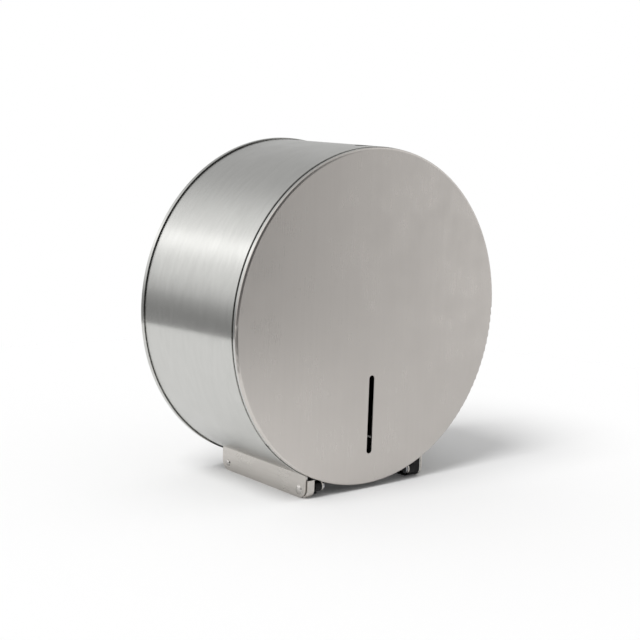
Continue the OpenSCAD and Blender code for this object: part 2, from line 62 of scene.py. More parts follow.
# an edge that turns by more than this is rounded
BEVEL_DEG = 35.0
# vertices nearer than this, in metres, are one vertex
MERGE_M = 1e-6
# colour inputs and output of a Mix node that is set to RGBA
MIX_FIRST, MIX_SECOND, MIX_RESULT = "in6", "in7", 2
# nearly all values of a noise lie between these
NOISE_LOW, NOISE_HIGH = 0.3, 0.7
# how deep a scratch's pattern goes, as a multiple of its width
SCRATCH_DEPTH = 4


class Grain(Enum):
    """The way the abrasive belt ran over a sheet."""

    AROUND = "round the drum's axis"
    UPRIGHT = "up and down the face"
    LENGTHWISE = "front to back"


@dataclass(frozen=True)
class SheetFinish:
    """Stainless sheet with a belt-brushed face.

    A real belt's scratches are finer than a pixel of the picture, so their pitch is drawn coarser.
    """

    name: str
    grain: Grain
    steel: str = "#D1D1CE"
    groove: str = "#C8C8C5"
    roughness: float = 0.21
    stretch: float = 0.9
    pitch_mm: float = 0.55
    length_mm: float = 38.0
    relief_mm: float = 0.002
    # the broad scratches against the fine ones
    broad_length: float = 3.0
    broad_pitch: float = 7.0
    smudge_per_mm: float = 0.045
    swing: float = 0.03


@dataclass(frozen=True)
class BarFinish:
    """Turned or headed steel; its tool marks too are drawn coarser than real ones."""

    name: str
    steel: str = "#B9BABD"
    groove: str = "#A5A6AA"
    roughness: float = 0.26
    pitch_mm: float = 0.35
    relief_mm: float = 0.003
    cloud_per_mm: float = 0.12
    swing_down: float = 0.04
    swing_up: float = 0.05


@dataclass(frozen=True)
class PlasticFinish:
    """Injection-moulded plastic."""

    name: str
    body: str
    worn: str
    roughness: float
    ior: float
    gloss: float
    grain_mm: float
    relief_mm: float
    flow_per_mm: float = 0.06
    most_worn: float = 0.6
    swing: float = 0.04


Finish = SheetFinish | BarFinish | PlasticFinish
Stops = tuple[tuple[float, float], ...]
Point = tuple[float, float, float]

# Brushed round the drum: reflections smear from front to back, so the light lies in even bands.
BRUSHED_DRUM = SheetFinish("stainless_steel_belt_brushed_round", Grain.AROUND)
# Brushed up and down: a broad calm grey that changes slowly from left to right.
BRUSHED_FACE = SheetFinish("stainless_steel_belt_brushed_upright", Grain.UPRIGHT,
                           steel="#D4CFCA", groove="#D1CCC7", roughness=0.31, stretch=0.4,
                           relief_mm=0.0006)
# Brushed from front to back: fine short lines along the cheek, and a soft even tone.
BRUSHED_CHEEK = SheetFinish("stainless_steel_belt_brushed_lengthwise", Grain.LENGTHWISE,
                            steel="#D4D0CB", groove="#CAC6C1", roughness=0.3, stretch=0.5,
                            pitch_mm=0.4, length_mm=20.0)
# Bent in a press after brushing: duller than the sheet, with short scratches; its paler colour is
# painted light, a lit copy of the sheet steel.
PRESSED_STEEL = SheetFinish("stainless_steel_pressed_satin", Grain.LENGTHWISE,
                            steel="#DEDAD5", groove="#D2CEC9", roughness=0.44, stretch=0.2,
                            pitch_mm=0.4, length_mm=8.0)
# Turned and zinc plated: a cool grey satin, cloudy, with fine tool marks.
TURNED_STEEL = BarFinish("zinc_plated_steel_turned")
# Cold headed: a smooth dome with one small bright spot and a dark rim.
RIVET_STEEL = BarFinish("stainless_steel_headed_rivet", steel="#CBC8C4", groove="#BDBAB6",
                        roughness=0.2, pitch_mm=0.5, relief_mm=0.001)
# Moulded in a spark-eroded tool: near black, with hardly a highlight on its teeth.
NYLON = PlasticFinish("nylon_moulded_matt", body="#0B0B0C", worn="#131314", roughness=0.55,
                      ior=1.53, gloss=0.25, grain_mm=0.35, relief_mm=0.02)
# Moulded in a smooth tool: pale grey with soft, wide highlights.
ABS = PlasticFinish("abs_moulded_satin", body="#C9CBCD", worn="#BFC2C5", roughness=0.38,
                    ior=1.54, gloss=0.5, grain_mm=0.9, relief_mm=0.006)

# What shiny surfaces see behind the object: brightness by angle round the drum's axis, where 0 is
# to the left, 90 straight up and 180 to the right.
SIDE_LIGHT: Stops = (
    (-90, 0.45), (-20, 0.36), (-14.5, 0.31), (-9, 0.36), (-4, 0.44), (3, 0.68), (8, 0.8),
    (15.6, 0.95), (25, 1.08), (31, 1.25), (36, 1.48), (41, 1.6), (49.5, 1.2), (62, 1.02),
    (69, 0.92), (75.6, 0.8), (85.6, 0.64), (95.6, 0.56), (120, 0.55), (146, 0.62), (180, 0.62))
# What they see in front of it: brightness by angle from straight ahead toward the right.
FRONT_LIGHT: Stops = (
    (-180, 0.35), (-110, 0.2), (15, 0.12), (35, 0.14), (44, 0.98), (70, 1.0), (100, 0.6),
    (180, 0.5))


def linear(code: str) -> tuple[float, float, float, float]:
    """Turns an sRGB hex code into a linear colour.

    Args:
        code: six hex digits after a hash.

    Returns:
        Linear red, green and blue, and an alpha of one.
    """
    channels = [int(code[i : i + 2], 16) / 255 for i in (1, 3, 5)]
    flat = [c / 12.92 if c <= 0.04045 else ((c + 0.055) / 1.055) ** 2.4 for c in channels]
    return (flat[0], flat[1], flat[2], 1.0)


def add(tree: bpy.types.NodeTree, kind: str, settings: dict[str, Any] | None = None,
        **sockets: Any) -> bpy.types.Node:
    """Adds a node, sets it and links it.

    Args:
        tree: the node tree that takes the node.
        kind: the node's type.
        settings: properties of the node itself.
        sockets: inputs by name, with _ for a space, or by in0, in1 and so on. An output socket
            links, anything else is the input's value.

    Returns:
        The new node.
    """
    node = tree.nodes.new(kind)
    for key, value in (settings or {}).items():
        setattr(node, key, value)
    for key, value in sockets.items():
        index = key[2:]
        socket = node.inputs[int(index) if index.isdigit() else key.replace("_", " ")]
        if isinstance(value, bpy.types.NodeSocket):
            tree.links.new(value, socket)
        else:
            socket.default_value = value
    return node


def maths(tree: bpy.types.NodeTree, operation: str, first: Any,
          second: Any) -> bpy.types.NodeSocket:
    """Works out one sum.

    Args:
        tree: the node tree.
        operation: the Math node's operation.
        first: a number or a socket.
        second: a number or a socket.

    Returns:
        The result.
    """
    return add(tree, "ShaderNodeMath", {"operation": operation}, in0=first, in1=second).outputs[0]


def blend(tree: bpy.types.NodeTree, share: Any, first: Any, second: Any) -> bpy.types.NodeSocket:
    """Goes from one number to another.

    Args:
        tree: the node tree.
        share: how much of the second is taken, 0 to 1.
        first: a number or a socket.
        second: a number or a socket.

    Returns:
        The number between them.
    """
    node = add(tree, "ShaderNodeMix", {"data_type": "FLOAT"}, Factor=share, A=first, B=second)
    return node.outputs[0]


def tint(tree: bpy.types.NodeTree, share: bpy.types.NodeSocket, first: str,
         second: str) -> bpy.types.NodeSocket:
    """Goes from one colour to another.

    Args:
        tree: the node tree.
        share: how much of the second is taken, 0 to 1.
        first: sRGB hex code.
        second: sRGB hex code.

    Returns:
        The colour between them.
    """
    ends = {MIX_FIRST: linear(first), MIX_SECOND: linear(second)}
    node = add(tree, "ShaderNodeMix", {"data_type": "RGBA"}, Factor=share, **ends)
    return node.outputs[MIX_RESULT]


def step(tree: bpy.types.NodeTree, value: bpy.types.NodeSocket, start: float,
         end: float) -> bpy.types.NodeSocket:
    """Rises smoothly from 0 to 1.

    Args:
        tree: the node tree.
        value: what the rise follows.
        start: the value at which it begins.
        end: the value at which it is done.

    Returns:
        The risen share.
    """
    settings = {"interpolation_type": "SMOOTHSTEP"}
    node = add(tree, "ShaderNodeMapRange", settings, Value=value, From_Min=start, From_Max=end)
    return node.outputs["Result"]


class FinishShop:
    """Makes each finish once and hands it out."""

    def __init__(self) -> None:
        """Starts with no finishes made."""
        self._made: dict[str, bpy.types.Material] = {}

    def get(self, finish: Finish) -> bpy.types.Material:
        """Hands out the material of a finish.

        Args:
            finish: the finish.

        Returns:
            Its material, made at its first use.
        """
        if finish.name not in self._made:
            make = {SheetFinish: self._sheet, BarFinish: self._bar, PlasticFinish: self._plastic}
            self._made[finish.name] = make[type(finish)](finish)
        return self._made[finish.name]

    @staticmethod
    def _blank(name: str) -> tuple[bpy.types.Material, bpy.types.NodeTree, bpy.types.NodeSocket]:
        """Starts a material.

        Args:
            name: its name.

        Returns:
            The material, its empty node tree and its output's surface socket.
        """
        material = bpy.data.materials.new(name)
        material.use_nodes = True
        tree = material.node_tree
        tree.nodes.clear()
        output = tree.nodes.new("ShaderNodeOutputMaterial")
        return material, tree, output.inputs["Surface"]

    @staticmethod
    def _millimetres(tree: bpy.types.NodeTree) -> bpy.types.NodeSocket:
        """Places a pattern on the piece.

        Args:
            tree: the material's node tree.

        Returns:
            The piece's own coordinates, in millimetres.
        """
        place = add(tree, "ShaderNodeTexCoord").outputs["Object"]
        settings = {"operation": "SCALE"}
        return add(tree, "ShaderNodeVectorMath", settings, in0=place, Scale=1 / MM).outputs[0]

    @staticmethod
    def _noise(tree: bpy.types.NodeTree, place: bpy.types.NodeSocket, scale: float, detail: float,
               roughness: float = 0.5) -> bpy.types.NodeSocket:
        """Makes an uneven pattern.

        Args:
            tree: the material's node tree.
            place: the pattern's coordinates.
            scale: how many blotches go into one unit.
            detail: how many finer layers lie on the first.
            roughness: how strong the finer layers are.

        Returns:
            The pattern's height.
        """
        return add(tree, "ShaderNodeTexNoise", Vector=place, Scale=scale, Detail=detail,
                   Roughness=roughness).outputs["Fac"]

    @staticmethod
    def _spread(tree: bpy.types.NodeTree, value: bpy.types.NodeSocket, low: float,
                high: float) -> bpy.types.NodeSocket:
        """Stretches the middle of a noise's range.

        Args:
            tree: the material's node tree.
            value: the noise.
            low: what its low values become.
            high: what its high values become.

        Returns:
            The stretched noise.
        """
        return add(tree, "ShaderNodeMapRange", Value=value, From_Min=NOISE_LOW,
                   From_Max=NOISE_HIGH, To_Min=low, To_Max=high).outputs["Result"]

    @staticmethod
    def _relief(tree: bpy.types.NodeTree, height: bpy.types.NodeSocket,
                relief_mm: float) -> bpy.types.NodeSocket:
        """Roughens the surface.

        Args:
            tree: the material's node tree.
            height: a pattern from 0 to 1.
            relief_mm: the height of its tops over its bottoms.

        Returns:
            The roughened normal.
        """
        return add(tree, "ShaderNodeBump", Strength=1.0, Distance=relief_mm * MM,
                   Height=height).outputs[0]

    def _belt_frame(self, tree: bpy.types.NodeTree,
                    grain: Grain) -> tuple[bpy.types.NodeSocket, ...]:
        """Places along and across the belt's run.

        Args:
            tree: the material's node tree.
            grain: the way the belt ran.

        Returns:
            Length along the scratches and the two lengths across them, in millimetres. The drum's
            starts from a seam at the bottom.
        """
        x, y, z = add(tree, "ShaderNodeSeparateXYZ", in0=self._millimetres(tree)).outputs
        if grain is Grain.AROUND:
            turn = maths(tree, "ARCTAN2", x, z)
            return maths(tree, "MULTIPLY", turn, DRUM_RADIUS_MM), y, z
        if grain is Grain.UPRIGHT:
            return z, x, y
        return y, z, x

    @staticmethod
    def _across(tree: bpy.types.NodeTree, grain: Grain) -> bpy.types.NodeSocket:
        """Finds the direction across the scratches, in which the metal smears its reflections.

        Args:
            tree: the material's node tree.
            grain: the way the belt ran.

        Returns:
            The direction.
        """
        axis = {Grain.AROUND: (0.0, 1.0, 0.0), Grain.UPRIGHT: (1.0, 0.0, 0.0),
                Grain.LENGTHWISE: (0.0, 0.0, 1.0)}[grain]
        settings = {"vector_type": "VECTOR", "convert_from": "OBJECT", "convert_to": "WORLD"}
        return add(tree, "ShaderNodeVectorTransform", settings, in0=axis).outputs[0]

    def _scratches(self, tree: bpy.types.NodeTree, places: tuple[bpy.types.NodeSocket, ...],
                   length_mm: float, pitch_mm: float, detail: float) -> bpy.types.NodeSocket:
        """Draws noise out along the belt's run.

        Args:
            tree: the material's node tree.
            places: coordinates along and across the run.
            length_mm: a scratch's length.
            pitch_mm: a scratch's width.
            detail: how many finer layers there are.

        Returns:
            The scratches' height.
        """
        sizes = (length_mm, pitch_mm, pitch_mm * SCRATCH_DEPTH)
        scaled = [maths(tree, "DIVIDE", place, size) for place, size in zip(places, sizes)]
        vector = add(tree, "ShaderNodeCombineXYZ", in0=scaled[0], in1=scaled[1], in2=scaled[2])
        return self._noise(tree, vector.outputs[0], 1.0, detail, 0.6)

    def _sheet(self, finish: SheetFinish) -> bpy.types.Material:
        """Makes belt-brushed stainless steel: fine scratches that smear reflections across them.

        Args:
            finish: the sheet's finish.

        Returns:
            Its material.
        """
        material, tree, surface = self._blank(finish.name)
        places = self._belt_frame(tree, finish.grain)
        fine = self._scratches(tree, places, finish.length_mm, finish.pitch_mm, 3.0)
        broad = self._scratches(tree, places, finish.length_mm * finish.broad_length,
                                finish.pitch_mm * finish.broad_pitch, 2.0)
        smudge = self._noise(tree, self._millimetres(tree), finish.smudge_per_mm, 3.0, 0.55)
        share = maths(tree, "ADD", self._spread(tree, fine, 0.0, 0.5),
                      self._spread(tree, broad, 0.0, 0.5))
        rough = maths(tree, "ADD",
                      self._spread(tree, fine, finish.roughness - finish.swing,
                                   finish.roughness + finish.swing),
                      self._spread(tree, smudge, -finish.swing, finish.swing))
        metal = add(tree, "ShaderNodeBsdfPrincipled",
                    Base_Color=tint(tree, share, finish.groove, finish.steel), Metallic=1.0,
                    Roughness=rough, Anisotropic=finish.stretch,
                    Normal=self._relief(tree, fine, finish.relief_mm),
                    Tangent=self._across(tree, finish.grain))
        tree.links.new(metal.outputs[0], surface)
        return material

    def _bar(self, finish: BarFinish) -> bpy.types.Material:
        """Makes turned or headed steel: a cloudy satin with fine tool marks.

        Args:
            finish: the bar's finish.

        Returns:
            Its material.
        """
        material, tree, surface = self._blank(finish.name)
        place = self._millimetres(tree)
        marks = self._noise(tree, place, 1 / finish.pitch_mm, 2.0)
        cloud = self._noise(tree, place, finish.cloud_per_mm, 3.0)
        share = self._spread(tree, cloud, 0.0, 1.0)
        rough = self._spread(tree, cloud, finish.roughness - finish.swing_down,
                             finish.roughness + finish.swing_up)
        metal = add(tree, "ShaderNodeBsdfPrincipled",
                    Base_Color=tint(tree, share, finish.groove, finish.steel), Metallic=1.0,
                    Roughness=rough, Normal=self._relief(tree, marks, finish.relief_mm))
        tree.links.new(metal.outputs[0], surface)
        return material

    def _plastic(self, finish: PlasticFinish) -> bpy.types.Material:
        """Makes moulded plastic: the tool's grain shows as a fine even dulling.

        Args:
            finish: the moulding's finish.

        Returns:
            Its material.
        """
        material, tree, surface = self._blank(finish.name)
        place = self._millimetres(tree)
        grit = self._noise(tree, place, 1 / finish.grain_mm, 2.0)
        flow = self._noise(tree, place, finish.flow_per_mm, 2.0)
        share = self._spread(tree, flow, 0.0, finish.most_worn)
        rough = self._spread(tree, flow, finish.roughness - finish.swing,
                             finish.roughness + finish.swing)
        shell = add(tree, "ShaderNodeBsdfPrincipled",
                    Base_Color=tint(tree, share, finish.body, finish.worn), Roughness=rough,
                    IOR=finish.ior, Specular_IOR_Level=finish.gloss,
                    Normal=self._relief(tree, grit, finish.relief_mm))
        tree.links.new(shell.outputs[0], surface)
        return material


def dress(shop: FinishShop, names: tuple[str, ...], finish: Finish) -> None:
    """Gives CAD nodes their finish.

    Args:
        shop: the maker of materials.
        names: the nodes.
        finish: what they are made of.
    """
    for name in names:
        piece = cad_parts[name]
        piece.data.materials.clear()
        piece.data.materials.append(shop.get(finish))
        log.info("%s: %s", name, finish.name)


def set_down(name: str, shell: bmesh.types.BMesh) -> bpy.types.Object:
    """Puts a shell into the scene.

    Args:
        name: the new object's name.
        shell: its mesh, which is used up.

    Returns:
        The object, at the origin and unturned.
    """
    mesh = bpy.data.meshes.new(name)
    shell.to_mesh(mesh)
    shell.free()
    item = bpy.data.objects.new(name, mesh)
    bpy.context.scene.collection.objects.link(item)
    return item


def shade(mesh: bpy.types.Mesh) -> None:
    """Shades a mesh smooth, apart from its sharp edges.

    Args:
        mesh: the mesh.
    """
    mesh.shade_smooth()
    mesh.set_sharp_from_angle(angle=math.radians(SHARP_DEG))


class Bench:
    """Turns bmesh shells into finished pieces."""

    def __init__(self, shop: FinishShop) -> None:
        """Takes the bench into use.

        Args:
            shop: the maker of materials.
        """
        self.shop = shop

    @staticmethod
    def turned(profile: tuple[tuple[float, float], ...], steps: int, open_half: float = 0.0,
               closed: bool = True) -> bmesh.types.BMesh:
        """Spins a profile about the drum's axis.

        Args:
            profile: radius and depth of each point.
            steps: how many steps go round.
            open_half: degrees left out on each side of the bottom.
            closed: whether the profile's last point joins its first.

        Returns:
            The spun shell, with its open ends capped.
        """
        shell = bmesh.new()
        start = math.radians(open_half)
        points = [shell.verts.new((-radius * math.sin(start) * MM, (depth - DEPTH_MM) * MM,
                                   -radius * math.cos(start) * MM)) for radius, depth in profile]
        pairs = list(zip(points, points[1:])) + ([(points[-1], points[0])] if closed else [])
        edges = [shell.edges.new(pair) for pair in pairs]
        full = open_half == 0.0
        bmesh.ops.spin(shell, geom=points + edges, cent=(0, 0, 0), axis=(0, 1, 0), steps=steps,
                       angle=2 * math.pi - 2 * start, use_merge=full)
        bmesh.ops.remove_doubles(shell, verts=shell.verts, dist=MERGE_M)
        if not full:
            Bench.cap(shell)
        return shell

    @staticmethod
    def cap(shell: bmesh.types.BMesh) -> None:
        """Closes every hole of a shell.

        Args:
            shell: the shell.
        """
        rims = [edge for edge in shell.edges if edge.is_boundary]
        bmesh.ops.holes_fill(shell, edges=rims, sides=0)

    @staticmethod
    def prism(sides: int, radius: float, length: float, place: Matrix) -> bmesh.types.BMesh:
        """Makes a bar along Z, round if it has many sides.

        Args:
            sides: how many sides it has.
            radius: the distance of its corners from its axis.
            length: its length.
            place: where its middle goes, and how it is turned, in metres.

        Returns:
            The bar's shell.
        """
        shell = bmesh.new()
        bmesh.ops.create_cone(shell, cap_ends=True, segments=sides, radius1=radius * MM,
                              radius2=radius * MM, depth=length * MM, matrix=place)
        return shell

    @staticmethod
    def soften(shell: bmesh.types.BMesh, radius: float) -> None:
        """Rounds the sharp edges of a shell.

        Args:
            shell: the shell.
            radius: how far the rounding reaches from an edge.
        """
        bmesh.ops.recalc_face_normals(shell, faces=shell.faces)
        least = math.radians(BEVEL_DEG)
        sharp = [e for e in shell.edges if e.is_manifold and e.calc_face_angle(0.0) > least]
        bmesh.ops.bevel(shell, geom=sharp, offset=radius * MM, offset_type="OFFSET", segments=2,
                        profile=0.5, affect="EDGES", clamp_overlap=True, material=-1)

    def piece(self, name: str, shell: bmesh.types.BMesh, body: str, slot: str,
              finish: Finish) -> bpy.types.Object:
        """Makes a shell into a piece that rides on a body.

        Args:
            name: the piece's name.
            shell: its mesh, which is used up.
            body: the CAD body that carries it.
            slot: a material slot's name; not used.
            finish: what it is made of.

        Returns:
            The piece.
        """
        bmesh.ops.recalc_face_normals(shell, faces=shell.faces)
        item = set_down(name, shell)
        shade(item.data)
        item.data.materials.append(self.shop.get(finish))
        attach(item, body)
        log.info("%s: %d faces, rides on %s", name, len(item.data.polygons), body)
        return item

    @staticmethod
    def cut(item: bpy.types.Object, tool: bmesh.types.BMesh, operation: str = "DIFFERENCE") -> None:
        """Cuts a piece with a shell, or keeps what lies inside the shell.

        Large flat faces rule the shading afterwards, so that no streaks run between small cuts.

        Args:
            item: the piece.
            tool: the shell, which is used up.
            operation: DIFFERENCE or INTERSECT.
        """
        bmesh.ops.recalc_face_normals(tool, faces=tool.faces)
        cutter = set_down("cutter", tool)
        if "even" in item.modifiers:
            item.modifiers.remove(item.modifiers["even"])
        change = item.modifiers.new("cut", "BOOLEAN")
        change.operation, change.solver, change.object = operation, "EXACT", cutter
        graph = bpy.context.evaluated_depsgraph_get()
        shaped = bpy.data.meshes.new_from_object(item.evaluated_get(graph))
        item.modifiers.remove(change)
        old, item.data = item.data, shaped
        shaped.name = item.name
        spent = cutter.data
        bpy.data.objects.remove(cutter)
        for mesh in (old, spent):
            bpy.data.meshes.remove(mesh)
        shade(shaped)
        level = item.modifiers.new("even", "WEIGHTED_NORMAL")
        level.mode, level.weight, level.keep_sharp = "FACE_AREA", 100, True


@dataclass
class Drum:
    """Wall plate, rolled band, cheeks, runners and rivets."""

    band: tuple[str, ...] = ("drum_band",)
    cheeks: tuple[str, ...] = ("left_cheek_plate", "right_cheek_plate")
    runners: tuple[str, ...] = ("left_runner", "right_runner")
    rivets: tuple[str, ...] = ("left_rivets", "right_rivets")
    # radius inside the skin and the apron, a little below the band's own outside
    band_radius: float = 130.7
    # outer skin: its lip hangs over the cover's rim as far back as skin_step
    skin_radius: float = 133.0
    skin_front: float = 5.4
    skin_lip: float = 132.6
    skin_step: float = 11.2
    skin_back: float = 123.3
    skin_edge: float = 0.19
    # half of the paper mouth's opening, in degrees from the bottom
    mouth_half: float = 26.9
    # apron beside the mouth, where the cover has no rim
    apron_front: float = 2.05
    apron_radius: float = 132.4
    apron_half: float = 47.5
    # back pan
    pan_radius: float = 134.2
    pan_depth: float = 3.4
    pan_sheet: float = 0.75
    pan_edge: float = 0.2
    plate: float = 1.2
    swage_middle: float = 103.0
    swage_width: float = 8.0
    swage_height: float = 1.5
    screw_out: float = 60.0
    screw_hole: float = 3.0
    # recess round the lock
    lock_back: float = 19.5
    lock_recess: float = 7.6
    # length of the tools that cut the recess and the screw holes
    well_length: float = 20.0
    drill_length: float = 10.0
    skin_steps: int = 300
    pan_steps: int = 240
    well_sides: int = 64
    drill_sides: int = 40

    def build(self, bench: Bench) -> None:
        """Dresses the drum's sheet pieces, and adds its outer skin, its apron and its back pan.

        Args:
            bench: where pieces are made.
        """
        dress(bench.shop, self.band, BRUSHED_DRUM)
        dress(bench.shop, self.cheeks, BRUSHED_CHEEK)
        dress(bench.shop, self.runners, PRESSED_STEEL)
        dress(bench.shop, self.rivets, RIVET_STEEL)
        self._skin(bench)
        self._apron(bench)
        self._pan(bench)

    def _skin(self, bench: Bench) -> None:
        """Lays the outer skin on the drum, with a well for the lock.

        Args:
            bench: where pieces are made.
        """
        profile = ((self.band_radius, self.skin_step), (self.skin_lip, self.skin_step),
                   (self.skin_lip, self.skin_front), (self.skin_radius, self.skin_front),
                   (self.skin_radius, self.skin_back), (self.band_radius, self.skin_back))
        shell = bench.turned(profile, self.skin_steps, self.mouth_half)
        bench.soften(shell, self.skin_edge)
        skin = bench.piece("drum_skin", shell, "body", "satin_steel", BRUSHED_DRUM)
        middle = Vector((0, self.lock_back - DEPTH_MM, self.skin_radius)) * MM
        bench.cut(skin, bench.prism(self.well_sides, self.lock_recess, self.well_length,
                                    Matrix.Translation(middle)))

    def _apron(self, bench: Bench) -> None:
        """Carries the drum forward on both sides of the mouth, up to the disc's edge.

        Args:
            bench: where pieces are made.
        """
        profile = ((self.band_radius, self.apron_front), (self.apron_radius, self.apron_front),
                   (self.apron_radius, self.skin_step), (self.band_radius, self.skin_step))
        apron = bench.turned(profile, self.skin_steps, self.mouth_half)
        level = -self.apron_radius * math.cos(math.radians(self.apron_half)) * MM
        bmesh.ops.bisect_plane(apron, geom=apron.verts[:] + apron.edges[:] + apron.faces[:],
                               plane_co=(0, 0, level), plane_no=(0, 0, 1), clear_outer=True)
        bench.cap(apron)
        bench.piece("drum_apron", apron, "body", "satin_steel", BRUSHED_DRUM)

    def _pan(self, bench: Bench) -> None:
        """Sets a shallow pan against the wall, whose rim stands clear of the skin by a dark line.

        Args:
            bench: where pieces are made.
        """
        front, lip = DEPTH_MM - self.plate, DEPTH_MM - self.pan_depth
        inner, outer = self.pan_radius - self.pan_sheet, self.pan_radius
        near = self.swage_middle - self.swage_width / 2
        far = self.swage_middle + self.swage_width / 2
        high, rise = self.swage_height, self.plate
        profile = ((0, front), (near, front), (near + high, front - high),
                   (far - high, front - high), (far, front), (inner, front), (inner, lip),
                   (outer, lip), (outer, DEPTH_MM), (far + rise, DEPTH_MM),
                   (far - high + rise / 2, DEPTH_MM - high),
                   (near + high - rise / 2, DEPTH_MM - high), (near - rise, DEPTH_MM),
                   (0, DEPTH_MM))
        shell = bench.turned(profile, self.pan_steps, closed=False)
        bench.soften(shell, self.pan_edge)
        pan = bench.piece("back_pan", shell, "body", "satin_steel", BRUSHED_DRUM)
        along = Matrix.Rotation(math.pi / 2, 4, "X")
        for x in (-self.screw_out, self.screw_out):
            for z in (-self.screw_out, self.screw_out):
                place = Matrix.Translation((x * MM, 0, z * MM)) @ along
                bench.cut(pan, bench.prism(self.drill_sides, self.screw_hole, self.drill_length,
                                           place))
        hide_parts("wall_plate")


@dataclass
class FrontCover:
    """Front panel with its rim, hinge ears and catch."""

    panel: tuple[str, ...] = ("cover_panel",)
    rim: tuple[str, ...] = ("cover_rim",)
    ears: tuple[str, ...] = ("left_hinge_ear", "right_hinge_ear")
    catch: tuple[str, ...] = ("lock_catch",)

    def build(self, bench: Bench) -> None:
        """Dresses the cover.

        Args:
            bench: where pieces are made.
        """
        dress(bench.shop, self.panel, BRUSHED_FACE)
        dress(bench.shop, self.rim, BRUSHED_DRUM)
        dress(bench.shop, self.ears, BRUSHED_FACE)
        dress(bench.shop, self.catch, TURNED_STEEL)


@dataclass(frozen=True)
class Nut:
    """A six-sided nut that takes the place of a CAD nut."""

    node: str
    body: str
    flats: float
    bore: float
    along: str


@dataclass
class Fittings:
    """Lock, axle, hub, pins and tear strips."""

    nuts: tuple[Nut, ...] = (Nut("lock_nut", "body", 15.0, 5.9, "Z"),
                             Nut("axle_nut", "body", 13.0, 4.0, "Y"),
                             Nut("cam_nut", "lock", 7.0, 2.0, "Z"))
    turned: tuple[str, ...] = ("left_hinge_pin", "right_hinge_pin", "lock_barrel", "hub_axle",
                               "axle_base", "axle_washer", "lock_plug", "lock_cam")
    strips: tuple[str, ...] = ("left_tear_strip", "right_tear_strip")
    hub: tuple[str, ...] = ("core_hub", "guide_disc")
    # a nut's chamfer starts at this share of the flats' radius, and slopes by this angle
    chamfer_start: float = 0.96
    chamfer_slope: float = 30.0
    # the tools reach past a nut's corners, its faces and its bore by these lengths
    past_corner: float = 0.2
    past_face: float = 0.001
    past_bore: float = 0.02
    past_ends: float = 2.0
    turning_sides: int = 72
    bore_sides: int = 48

    def build(self, bench: Bench) -> None:
        """Dresses the fittings, and makes their nuts.

        Args:
            bench: where pieces are made.
        """
        dress(bench.shop, self.turned, TURNED_STEEL)
        for nut in self.nuts:
            self._nut(bench, nut)
        dress(bench.shop, self.strips, NYLON)
        dress(bench.shop, self.hub, ABS)

    def _nut(self, bench: Bench, nut: Nut) -> None:
        """Makes a nut with its corners turned down to a chamfer on both faces.

        Args:
            bench: where pieces are made.
            nut: the nut.
        """
        low, high = (Vector(corner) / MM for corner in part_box(nut.node))
        thick = (high - low)["XYZ".index(nut.along)]
        corner = nut.flats / 2 / math.cos(math.pi / 6)
        place = Matrix.Translation((low + high) / 2 * MM)
        if nut.along == "Y":
            place = place @ Matrix.Rotation(math.pi / 2, 4, "X")
        hexagon = bench.prism(6, corner, thick, place @ Matrix.Rotation(math.pi / 2, 4, "Z"))
        item = bench.piece(nut.node + "_cut", hexagon, nut.body, "plated_steel", TURNED_STEEL)
        bench.cut(item, self._turning(nut, corner, thick, place), "INTERSECT")
        bench.cut(item, bench.prism(self.bore_sides, nut.bore + self.past_bore,
                                    thick + self.past_ends, place))
        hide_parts(nut.node)

    def _turning(self, nut: Nut, corner: float, thick: float, place: Matrix) -> bmesh.types.BMesh:
        """Makes the round shape that a chamfered nut stays inside.

        Args:
            nut: the nut.
            corner: the radius of its corners.
            thick: its thickness.
            place: where its middle goes, and how it is turned, in metres.

        Returns:
            The round shape's shell.
        """
        face, wide = nut.flats / 2 * self.chamfer_start, corner + self.past_corner
        drop = (wide - face) * math.tan(math.radians(self.chamfer_slope))
        end = thick / 2 + self.past_face
        levels = ((face, -end), (wide, drop - thick / 2), (wide, thick / 2 - drop), (face, end))
        shell = bmesh.new()
        rings = [bmesh.ops.create_circle(shell, segments=self.turning_sides, radius=radius * MM,
                                         matrix=place @ Matrix.Translation((0, 0, level * MM)))
                 ["verts"] for radius, level in levels]
        loops = [[e for e in shell.edges if e.verts[0] in ring and e.verts[1] in ring]
                 for ring in rings]
        for lower, upper in zip(loops, loops[1:]):
            bmesh.ops.bridge_loops(shell, edges=lower + upper)
        bmesh.ops.holes_fill(shell, edges=loops[0] + loops[-1], sides=0)
        return shell


@dataclass(frozen=True)
class View:
    """Where the photograph was taken from; the place is in metres."""

    place: Point = (-0.71238, -0.91480, 0.17237)
    azimuth: float = 39.761
    elevation: float = 9.334
    roll: float = 1.931
    lens: float = 77.913
    sensor: float = 36.0


@dataclass(frozen=True)
class MainLamp:
    """Wide soft lamp from the upper left, which leaves the shadow on the right."""

    toward: Point = (-0.57, -0.08, 0.82)
    energy: float = 2.0
    spread: float = 30.0


